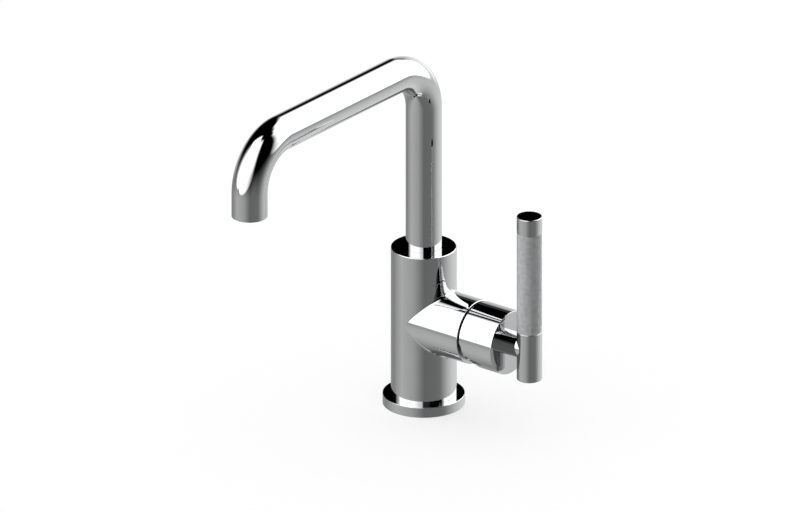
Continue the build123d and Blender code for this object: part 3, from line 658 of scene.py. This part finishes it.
class MIXER_OT_body(bpy.types.Operator):
    """Make the upright body and its side housing as one casting"""

    bl_idname = "mixer.body"
    bl_label = "Body"

    def execute(self, context):
        given = sizes()
        walls = round_bar(BODY_RADIUS, ORIGIN, Z_AXIS), round_bar(HOUSING_RADIUS, HOUSING_AXIS, X_AXIS)
        skin = rounded_joint(*walls, given.seam_radius, self.is_on_the_housings_side)
        casting = combined(self.upright(), self.housing(), "UNION")
        self.round_seam(casting, skin, walls)
        for hole in self.holes():
            casting = combined(casting, hole, "DIFFERENCE")
        surfaces = [
            skin,
            round_bar(TUBE_RADIUS + given.socket_gap, ORIGIN, Z_AXIS),
            round_bar(given.skirt_radius, ORIGIN, Z_AXIS),
            round_bar(given.cartridge_bore, HOUSING_AXIS, X_AXIS),
            round_bar(given.nut_bore, HOUSING_AXIS, X_AXIS),
            *(round_bar(radius, place, Z_AXIS) for radius, place in self.ports()),
        ]
        finished_piece(casting, "body_casting", "body", "body", surfaces)
        return {"FINISHED"}

    def is_on_the_housings_side(self, point):
        return point.x > 0

    def upright(self):
        """The upright, with its hollow foot and the spout's socket, and fine rings near the housing."""
        given = sizes()
        top = BODY_HIGH.z
        socket = TUBE_RADIUS + given.socket_gap
        reach = HOUSING_RADIUS + 2 * given.seam_radius
        rings = even_steps(PIVOT.z - reach, PIVOT.z + reach, given.seam_step)
        outline = [
            (0, given.skirt_height),
            (given.skirt_radius, given.skirt_height),
            (given.skirt_radius, BODY_LOW.z),
            (BODY_RADIUS, BODY_LOW.z),
            *((BODY_RADIUS, height) for height in rings),
            (BODY_RADIUS, top),
            (socket, top),
            (socket, given.socket_floor),
            (0, given.socket_floor),
        ]
        shape = turned(outline, Matrix())
        return round_rim(shape, BODY_RADIUS, top, given.body_edge, 4)

    def housing(self):
        """The side housing, from the upright's axis to its open end, with fine rings near the upright."""
        given = sizes()
        end = BODY_HIGH.x
        reach = BODY_RADIUS + 2 * given.seam_radius
        outline = [
            (0, 0),
            *((HOUSING_RADIUS, along) for along in even_steps(0, reach, given.seam_step)),
            (HOUSING_RADIUS, end),
            (0, end),
        ]
        shape = turned(outline, about_x(HOUSING_AXIS))
        return round_rim(shape, HOUSING_RADIUS, end, given.housing_edge, 4, HOUSING_AXIS, X_AXIS)

    def round_seam(self, casting, skin, walls):
        """Moves the points near the seam onto the rounded surface, and makes the mesh finer there."""
        projections = 6
        shortest_edge = 0.1 * MM
        cuts = 3

        def lay_on_skin(verts):
            """A few projections along the skin's normals bring the points onto it."""
            for vert in verts:
                for step in range(projections):
                    height, normal = skin(vert.co)
                    vert.co -= normal * height

        def is_near_both(vert):
            heights = [wall(vert.co)[0] for wall in walls]
            return min(heights) > -2 * TOLERANCE and max(heights) < sizes().seam_radius

        def is_between_walls(vert):
            return all(wall(vert.co)[0] > TOLERANCE / 2 for wall in walls)

        seam = [vert for vert in casting.verts if self.is_on_the_housings_side(vert.co)]
        seam = [vert for vert in seam if is_near_both(vert) and abs(skin(vert.co)[0]) > TOLERANCE]
        bmesh.ops.remove_doubles(casting, verts=seam, dist=shortest_edge)
        lay_on_skin(vert for vert in seam if vert.is_valid)
        rounded = [face for face in casting.faces if any(is_between_walls(vert) for vert in face.verts)]
        triangles = bmesh.ops.triangulate(casting, faces=rounded)["faces"]
        edges = each_once(edge for face in triangles for edge in face.edges)
        result = bmesh.ops.subdivide_edges(casting, edges=edges, cuts=cuts, use_grid_fill=True)
        lay_on_skin(only(result["geom_inner"], bmesh.types.BMVert))

    def ports(self):
        """Radius and place of the two hose ports and of the fixing stud's hole."""
        return [
            (mount["dims"]["r_mm"] * MM, Vector(mount["pos_m"]))
            for mount in MOUNTS.values()
            if mount["kind"] == "threaded_hole"
        ]

    def holes(self):
        """The cartridge's stepped bore, and the blind holes above the hollow foot."""
        given = sizes()
        beyond = BODY_HIGH.x + OVERCUT
        port_depth = 10 * MM
        seat, shoulder = given.cartridge_seat, given.nut_shoulder
        bore, nut_bore = given.cartridge_bore, given.nut_bore
        outline = [(0, seat), (bore, seat), (bore, shoulder)]
        outline += [(nut_bore, shoulder), (nut_bore, beyond), (0, beyond)]
        holes = [turned(outline, about_x(HOUSING_AXIS))]
        for radius, place in self.ports():
            outline = [(0, -OVERCUT), (radius, -OVERCUT), (radius, port_depth), (0, port_depth)]
            holes.append(turned(outline, Matrix.Translation(place), HOLE_STEPS))
        return holes


class MIXER_OT_spout(bpy.types.Operator):
    """Bend the spout tube from the body to its mouth"""

    bl_idname = "mixer.spout"
    bl_label = "Spout tube"

    def execute(self, context):
        given = sizes()
        inner = TUBE_RADIUS - given.tube_wall
        shape = bmesh.new()
        skins = [self.bent_skin(shape, radius) for radius in (TUBE_RADIUS, inner)]
        for outer_end, inner_end in zip(*skins):
            bmesh.ops.bridge_loops(shape, edges=outer_end + inner_end)
        closed_up(shape)
        for radius in (TUBE_RADIUS, inner):
            round_rim(shape, radius, OUTLET.z, given.turned_edge, through=MOUTH_AXIS)
        surfaces = self.surfaces(TUBE_RADIUS) + self.surfaces(inner)
        finished_piece(shape, "spout_tube_bent", "spout", "spout_tube", surfaces)
        return {"FINISHED"}

    def bend_centres(self):
        """The centres of the rear and of the front bend."""
        bend = sizes().bend_radius
        height = ARM_HEIGHT - bend
        return Vector((0, -bend, height)), Vector((0, OUTLET.y + bend, height))

    def bent_skin(self, shape, radius):
        """One skin of the tube; returns the edges of its foot and of its mouth."""
        rear, front = self.bend_centres()
        start = bmesh.ops.create_circle(
            shape, cap_ends=False, radius=radius, segments=sizes().turning_steps,
            matrix=Matrix.Translation((0, 0, TUBE_LOW.z)),
        )
        foot = each_once(edge for vert in start["verts"] for edge in vert.link_edges)
        rim = self.straight(shape, foot, Z_AXIS * (rear.z - TUBE_LOW.z))
        rim = self.quarter_turn(shape, rim, rear)
        rim = self.straight(shape, rim, front - rear)
        rim = self.quarter_turn(shape, rim, front)
        mouth = self.straight(shape, rim, Z_AXIS * (OUTLET.z - front.z))
        return foot, mouth

    def straight(self, shape, rim, run):
        made = bmesh.ops.extrude_edge_only(shape, edges=rim)["geom"]
        verts = only(made, bmesh.types.BMVert)
        bmesh.ops.translate(shape, vec=run, verts=verts)
        edges = only(made, bmesh.types.BMEdge)
        return [edge for edge in edges if all(vert in verts for vert in edge.verts)]

    def quarter_turn(self, shape, rim, centre):
        verts = each_once(vert for edge in rim for vert in edge.verts)
        end = spun(shape, verts + rim, centre, X_AXIS, math.pi / 2, sizes().bend_steps, False)
        return only(end, bmesh.types.BMEdge)

    def surfaces(self, radius):
        """The straight and bent surfaces of one skin."""
        centres = self.bend_centres()
        return [
            round_bar(radius, ORIGIN, Z_AXIS),
            round_bar(radius, MOUTH_AXIS, Z_AXIS),
            round_bar(radius, Vector((0, 0, ARM_HEIGHT)), Y_AXIS),
            *(round_bend(radius, centre, X_AXIS, sizes().bend_radius) for centre in centres),
        ]


class MIXER_OT_turning_cap(bpy.types.Operator):
    """Turn the lever's cap, hollow it, and slant its lower back"""

    bl_idname = "mixer.turning_cap"
    bl_label = "Turning cap"

    def execute(self, context):
        given = sizes()
        back_edge = 0.15 * MM
        back = CAP_LOW.x - PIVOT.x
        front = CAP_HIGH.x - PIVOT.x
        outline = self.hollow_outline(back) + [(HOUSING_RADIUS, back), (HOUSING_RADIUS, front), (0, front)]
        shape = turned(outline, about_x(PIVOT))
        self.slant_back(shape)
        round_rim(shape, HOUSING_RADIUS, CAP_HIGH.x, given.turned_edge, 4, HOUSING_AXIS, X_AXIS)
        round_edges(shape, self.is_back_rim, back_edge, 2)
        hole, hole_surface = self.screw_hole()
        shape = combined(shape, hole, "DIFFERENCE")
        surfaces = [
            round_bar(HOUSING_RADIUS, HOUSING_AXIS, X_AXIS),
            round_ball(given.cap_hollow, PIVOT),
            hole_surface,
        ]
        finished_piece(shape, "turning_cap", "lever", "lever_cap", surfaces)
        return {"FINISHED"}

    def hollow_outline(self, back, steps=40):
        """The hollow's outline from its pole to its rim, as (radius, height above the pivot)."""
        hollow = sizes().cap_hollow
        rim = math.acos(back / hollow)
        angles = [rim * step / steps for step in range(steps + 1)]
        return [(hollow * math.sin(turn), hollow * math.cos(turn)) for turn in angles]

    def slant_back(self, shape):
        slant = sizes().wedge_angle
        result = bmesh.ops.bisect_plane(
            shape,
            geom=shape.verts[:] + shape.edges[:] + shape.faces[:],
            dist=SAME_POINT / 10,
            plane_co=(CAP_LOW.x, 0, PIVOT.z),
            plane_no=(math.cos(slant), 0, math.sin(slant)),
            clear_inner=True,
        )
        cut = only(result["geom_cut"], bmesh.types.BMEdge)
        rim = [edge for edge in cut if edge.is_valid and edge.is_boundary]
        bmesh.ops.contextual_create(shape, geom=rim)
        closed_up(shape)

    def is_back_rim(self, edge):
        """True on the outer edge of the cap's back, upright above the axis and slanted below it."""
        sharp = math.radians(35)
        front = CAP_HIGH.x - 1 * MM
        outside = [
            abs(Vector((0, vert.co.y, vert.co.z - PIVOT.z)).length - HOUSING_RADIUS) < TOLERANCE
            for vert in edge.verts
        ]
        is_corner = len(edge.link_faces) == 2 and edge.calc_face_angle() > sharp
        return all(outside) and is_corner and edge.verts[0].co.x < front

    def screw_hole(self):
        """The hole under the cap through which its grub screw is reached."""
        length = 30 * MM
        start_depth = 6 * MM
        radius = PLUG_HIGH.y + SCREW_GAP
        screw = (SCREW_LOW + SCREW_HIGH) / 2
        outline = [(0, 0), (radius, 0), (radius, length), (0, length)]
        lean = Matrix.Rotation(math.pi - sizes().spindle_lean, 4, "Y")
        start = screw + lean.to_3x3() @ Z_AXIS * start_depth
        hole = turned(outline, Matrix.Translation(start) @ lean, HOLE_STEPS)
        return hole, round_bar(radius, screw, lean.to_3x3() @ Z_AXIS)


class MIXER_OT_lever_rod(bpy.types.Operator):
    """Turn the stub, the rod's lower barrel and its end cap"""

    bl_idname = "mixer.lever_rod"
    bl_label = "Stub, barrel and end cap"

    def execute(self, context):
        self.make_stub()
        self.make_barrel()
        self.make_end_cap()
        return {"FINISHED"}

    def make_stub(self):
        start = CAP_HIGH.x
        outline = [(0, start), (STUB_RADIUS, start), (STUB_RADIUS, ROD_AXIS.x), (0, ROD_AXIS.x)]
        shape = turned(outline, about_x(HOUSING_AXIS))
        surfaces = [round_bar(STUB_RADIUS, HOUSING_AXIS, X_AXIS)]
        finished_piece(shape, "lever_stub", "lever", "handle_stub", surfaces)

    def make_rod_piece(self, outline, rims, name, node):
        """A piece turned about the rod's axis; a rim is a radius, a height, a rounding and its steps."""
        shape = turned(outline, Matrix.Translation(ROD_AXIS))
        for rim in rims:
            round_rim(shape, *rim, ROD_AXIS)
        surfaces = [round_bar(rim[0], ROD_AXIS, Z_AXIS) for rim in rims]
        finished_piece(shape, name, "lever", node, surfaces)

    def make_barrel(self):
        edge = sizes().turned_edge
        low = BARREL_LOW.z
        high = GRIP_LOW.z
        hole = BARREL_SCREW_HIGH.y + SCREW_GAP
        hole_top = BARREL_SCREW_LOW.z + 1 * MM
        outline = [(0, hole_top), (hole, hole_top), (hole, low)]
        outline += [(ROD_RADIUS, low), (ROD_RADIUS, high), (0, high)]
        rims = [(ROD_RADIUS, low, 2 * edge, 4), (hole, low, edge, 3), (ROD_RADIUS, high, edge, 3)]
        self.make_rod_piece(outline, rims, "rod_barrel", "handle_barrel")

    def make_end_cap(self):
        edge = sizes().turned_edge
        low = GRIP_HIGH.z
        high = END_HIGH.z
        outline = [(0, low), (ROD_RADIUS, low), (ROD_RADIUS, high), (0, high)]
        rims = [(ROD_RADIUS, high, 1.6 * edge, 4), (ROD_RADIUS, low, edge, 3)]
        self.make_rod_piece(outline, rims, "rod_end_cap", "grip_end_cap")


class MIXER_OT_grip(bpy.types.Operator):
    """Cut the diamond knurl round the grip"""

    bl_idname = "mixer.grip"
    bl_label = "Knurled grip"

    def execute(self, context):
        given = sizes()
        low = GRIP_LOW.z
        length = GRIP_HIGH.z - low
        columns = 2 * round(2 * math.pi * GRIP_RADIUS / given.knurl_pitch)
        rows = 2 * round(length / given.knurl_pitch)
        shape = bmesh.new()
        bmesh.ops.create_grid(shape, x_segments=columns, y_segments=rows, size=0.5)
        grooves = []
        peaks = []
        for vert in shape.verts:
            column = round((vert.co.x + 0.5) * columns)
            row = round((vert.co.y + 0.5) * rows)
            is_groove = (column + row) % 2 == 0
            is_peak = not is_groove and 0 < row < rows
            reach = GRIP_RADIUS if is_peak else GRIP_RADIUS - given.knurl_depth
            turn = 2 * math.pi * column / columns
            vert.co = (reach * math.cos(turn), reach * math.sin(turn), low + length * row / rows)
            if is_groove:
                grooves.append(vert)
            if is_peak:
                peaks.append(vert)
        bmesh.ops.connect_verts(shape, verts=grooves)
        bevelled(shape, peaks, given.knurl_flat, 1, "VERTICES")
        bmesh.ops.remove_doubles(shape, verts=shape.verts, dist=SAME_POINT)
        ends = [edge for edge in shape.edges if edge.is_boundary]
        bmesh.ops.holes_fill(shape, edges=ends, sides=0)
        bmesh.ops.translate(shape, vec=ROD_AXIS, verts=shape.verts)
        bmesh.ops.recalc_face_normals(shape, faces=shape.faces)
        finished_piece(shape, "knurled_grip_cut", "lever", "knurled_grip", slot="chrome_knurl")
        return {"FINISHED"}


class MIXER_OT_inner_finishes(bpy.types.Operator):
    """Give the pieces that stay as the CAD made them their finishes"""

    bl_idname = "mixer.inner_finishes"
    bl_label = "Finish the CAD pieces"

    def execute(self, context):
        for subpart in frame["record"]["subparts"]:
            node = frame["nodes"][subpart["node"]]
            for holder in node.material_slots:
                holder.material = slot_material(subpart["material_slot"])
        return {"FINISHED"}


# Studio. Azimuths and elevations of the lights are in degrees.


def studio_directions(nodes):
    """Azimuth and elevation of a direction in degrees; azimuth 0 points to the camera, 90 to its right."""
    direction = nodes.add("ShaderNodeTexCoord").outputs["Generated"]
    inputs = {"Vector": direction, "Angle": math.pi / 2 - studio().azimuth}
    turn = nodes.add("ShaderNodeVectorRotate", inputs, rotation_type="Z_AXIS")
    ahead, across, up = nodes.parts(turn.outputs["Vector"])
    azimuth = nodes.math("ARCTAN2", across, ahead)
    elevation = nodes.math("ARCSINE", up)
    return nodes.math("DEGREES", azimuth), nodes.math("DEGREES", elevation)


def room_light(nodes, azimuth, elevation):
    """The studio's grey floor, which fades out above the horizon, and a glow behind the mixer."""
    # Azimuth in degrees, and the floor's brightness there
    levels = (
        (-180, 0.5), (-155, 0.41), (-132, 0.34), (-105, 0.51), (-84, 0.64), (-50, 0.545),
        (-36, 0.5), (-5, 0.243), (2, 0.202), (45, 0.215), (60, 0.25),
        (92, 0.65), (115, 0.87), (135, 0.95), (155, 0.94), (180, 0.5),
    )
    ramp = nodes.add("ShaderNodeValToRGB")
    stops = ramp.color_ramp.elements
    for position, level in levels[1:-1]:
        stops.new((position + 180) / 360).color = shaded(WHITE, level)
    for end in (0, -1):
        stops[end].color = shaded(WHITE, levels[end][1])
    nodes.fill(ramp, {0: nodes.math("MULTIPLY_ADD", azimuth, 1 / 360, 0.5)})
    floor = nodes.product(ramp.outputs["Color"], nodes.fade(elevation, 16, -26))
    from_back = nodes.math("SUBTRACT", 180, nodes.math("ABSOLUTE", azimuth))
    past_back = nodes.fade(nodes.math("WRAP", azimuth, 360, 0), 179, 185)
    right_of_back = nodes.product(nodes.fade(from_back, 3, 18), nodes.math("SUBTRACT", 1, past_back))
    glow = nodes.product(
        nodes.fade(from_back, 62, 20),
        nodes.fade(elevation, -18, -8),
        nodes.fade(elevation, nodes.between(past_back, 23, 10), nodes.between(past_back, 12, -8)),
        nodes.between(right_of_back, 0.63, 1.1),
    )
    return nodes.math("ADD", floor, glow)


def above_lower_edge(nodes, azimuth, elevation, middle, sag, flag_at, flag_width, flag_lift, widest=180):
    """Degrees above a light's lower edge, which is lowest in its middle and lifted behind a flag."""
    from_middle = nodes.math("MINIMUM", nodes.apart(azimuth, middle), widest)
    flag = nodes.fade(nodes.apart(azimuth, flag_at), flag_width, 1)
    edge = nodes.math("MULTIPLY_ADD", flag, flag_lift, nodes.product(from_middle, from_middle, sag))
    return nodes.math("SUBTRACT", elevation, edge)


def left_softbox(nodes, azimuth, elevation):
    """Shares of the tall light on the camera's left, and of its bright middle, in a direction."""
    inner_side = nodes.between(nodes.fade(elevation, -6, 36), -34, -7)
    bright_side = nodes.math("SUBTRACT", inner_side, 22)
    top_part = nodes.fade(elevation, 42, 50)
    outer_side = nodes.between(top_part, -118.5, -121)
    outer_full = nodes.between(top_part, -89.5, -109)
    above_edge = above_lower_edge(
        nodes, azimuth, elevation, middle=-58, sag=0.006, flag_at=-75, flag_width=12, flag_lift=5
    )
    filled = nodes.product(
        nodes.fade(azimuth, 10.5, inner_side),
        nodes.fade(azimuth, outer_side, outer_full),
        nodes.fade(above_edge, -17.5, -12.5),
        nodes.fade(elevation, 81, 74),
    )
    return filled, nodes.product(nodes.fade(filled, 0.9, 1), nodes.fade(azimuth, inner_side, bright_side))


def right_softbox(nodes, azimuth, elevation):
    """The same shares of the wide light to the right of and behind the mixer."""
    around = nodes.math("WRAP", azimuth, 360, 0)
    full = nodes.between(nodes.fade(elevation, 0, 24), 88, 78)
    above_edge = above_lower_edge(
        nodes, around, elevation, middle=108, sag=0.013, flag_at=98, flag_width=11, flag_lift=7, widest=55
    )
    rise = nodes.math("MAXIMUM", nodes.math("SUBTRACT", elevation, 22), 0)
    far_side = nodes.math("ADD", around, nodes.product(rise, rise, 0.011))
    near_top = nodes.math("MULTIPLY_ADD", nodes.fade(around, 98, 72), 8, elevation)
    filled = nodes.product(
        nodes.fade(around, 63.5, full),
        nodes.fade(far_side, 184, 172),
        nodes.fade(above_edge, -15.5, -10.5),
        nodes.fade(near_top, 76, 67),
    )
    return filled, nodes.fade(filled, 0.9, 1)


def view_axes():
    """Level directions in the photograph's view: to its right, and out of it towards the camera."""
    turn = studio().azimuth
    return Vector((math.cos(turn), math.sin(turn), 0)), Vector((math.sin(turn), -math.cos(turn), 0))


def hide_from(item, *rays):
    for ray in rays:
        setattr(item, f"visible_{ray}", False)


class MIXER_OT_studio(bpy.types.Operator):
    """Set the camera, the plain floor and the studio's light"""

    bl_idname = "mixer.studio"
    bl_label = "Studio"

    def execute(self, context):
        self.place_camera(context)
        self.lay_floor()
        self.stand_card()
        self.light_room(context)
        context.scene.view_settings.view_transform = "Standard"
        return {"FINISHED"}

    def place_camera(self, context):
        """An orthographic camera at the photograph's angle."""
        view = studio()
        right, front = view_axes()
        back = front * math.cos(view.elevation) + Z_AXIS * math.sin(view.elevation)
        up = back.cross(right)
        data = bpy.data.cameras.new("photograph_view")
        data.type = "ORTHO"
        data.ortho_scale = view.view_width
        data.clip_end = 4 * view.camera_distance
        camera = bpy.data.objects.new("photograph_view", data)
        camera.location = up * view.centre_up - right * view.centre_left + back * view.camera_distance
        camera.rotation_euler = back.to_track_quat("Z", "Y").to_euler()
        context.collection.objects.link(camera)
        context.scene.camera = camera

    def lay_floor(self):
        """A white floor that keeps a soft shadow; the metal sees the studio's own floor instead."""
        shape = bmesh.new()
        bmesh.ops.create_grid(shape, x_segments=1, y_segments=1, size=studio().floor_width / 2)
        floor = as_object(shape, "floor")
        hide_from(floor, "glossy", "transmission")
        material, nodes, shader, place = new_material("floor_white", GLOWING)
        shadow = studio().floor_shadow
        just_above_white = 1.01
        speckle = nodes.noise(place, 30 * MM)
        paint = nodes.blend(speckle, shaded(WHITE, shadow), shaded(WHITE, 0.995 * shadow))
        seen = nodes.add("ShaderNodeLightPath").outputs["Is Camera Ray"]
        glow = nodes.product(seen, just_above_white - shadow)
        nodes.fill(shader, {"Base Color": paint, "Emission Strength": glow})
        floor.data.materials.append(material)

    def stand_card(self):
        """A dark card in front, seen only by the metal, which keeps the stub's reflections dark."""
        view = studio()
        right, front = view_axes()
        shape = bmesh.new()
        corners = ((-view.card_left, 0), (view.card_right, 0), (view.card_right, 1), (-view.card_left, 1))
        verts = [
            shape.verts.new(front * view.card_distance + right * along + Z_AXIS * view.card_top * up)
            for along, up in corners
        ]
        shape.faces.new(verts)
        card = as_object(shape, "dark_card")
        hide_from(card, "camera", "diffuse", "shadow", "transmission")
        dark = {**GLOWING, "Base Color": shaded(WHITE, 0)}
        material, nodes, shader, place = new_material("card_black", dark)
        foot_glow = 0.2
        glow_low, glow_high = 40 * MM, 360 * MM
        across = nodes.vector_math("DOT_PRODUCT", place, right)["Value"]
        glow = nodes.product(nodes.fade(nodes.parts(place)["Z"], glow_high, glow_low), foot_glow)
        cover = nodes.fade(across, -view.card_left, view.card_edge - view.card_left)
        nodes.fill(shader, {"Emission Strength": glow, "Alpha": cover})
        card.data.materials.append(material)

    def light_room(self, context):
        """White to the camera and on plain surfaces; in metal, a dim room with two large lights."""
        world = bpy.data.worlds.new("studio")
        context.scene.world = world
        world.use_nodes = True
        world.cycles.sampling_method = "NONE"
        nodes = NodeMaker(world.node_tree)
        azimuth, elevation = studio_directions(nodes)
        light = room_light(nodes, azimuth, elevation)
        for softbox in (right_softbox, left_softbox):
            filled, bright = softbox(nodes, azimuth, elevation)
            light = nodes.between(filled, light, studio().edge_level)
            light = nodes.between(bright, light, studio().light_level)
        path = nodes.add("ShaderNodeLightPath")
        in_metal = nodes.math("MAXIMUM", path.outputs["Is Glossy Ray"], path.outputs["Is Transmission Ray"])
        background = world.node_tree.nodes["Background"]
        nodes.fill(background, {"Color": nodes.between(in_metal, 1.0, light)})


# The steps in order, their panel, and the add-on's registration

STEPS = (
    MIXER_OT_studio,
    MIXER_OT_inner_finishes,
    MIXER_OT_base_ring,
    MIXER_OT_body,
    MIXER_OT_spout,
    MIXER_OT_turning_cap,
    MIXER_OT_lever_rod,
    MIXER_OT_grip,
)
SETTINGS = (MixerSizes, MixerFinish, StudioSettings)


class MIXER_PT_panel(bpy.types.Panel):
    """Lists the mixer's sizes and finishes, and the steps that build it"""

    bl_idname = "MIXER_PT_panel"
    bl_label = "Basin mixer"
    bl_space_type = "VIEW_3D"
    bl_region_type = "UI"
    bl_category = "Mixer"

    def draw(self, context):
        for step in STEPS:
            self.layout.operator(step.bl_idname)
        for settings in (sizes(), finish(), studio()):
            box = self.layout.box()
            for name in type(settings).__annotations__:
                box.prop(settings, name)


def register():
    for item in (*SETTINGS, *STEPS, MIXER_PT_panel):
        bpy.utils.register_class(item)
    bpy.types.Scene.mixer_sizes = PointerProperty(type=MixerSizes)
    bpy.types.Scene.mixer_finish = PointerProperty(type=MixerFinish)
    bpy.types.Scene.mixer_studio = PointerProperty(type=StudioSettings)


def unregister():
    del bpy.types.Scene.mixer_studio
    del bpy.types.Scene.mixer_finish
    del bpy.types.Scene.mixer_sizes
    for item in reversed((*SETTINGS, *STEPS, MIXER_PT_panel)):
        bpy.utils.unregister_class(item)


def main():
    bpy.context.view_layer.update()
    register()
    for step in STEPS:
        getattr(bpy.ops.mixer, step.bl_idname.split(".")[1])()


if __name__ == "__main__":
    main()
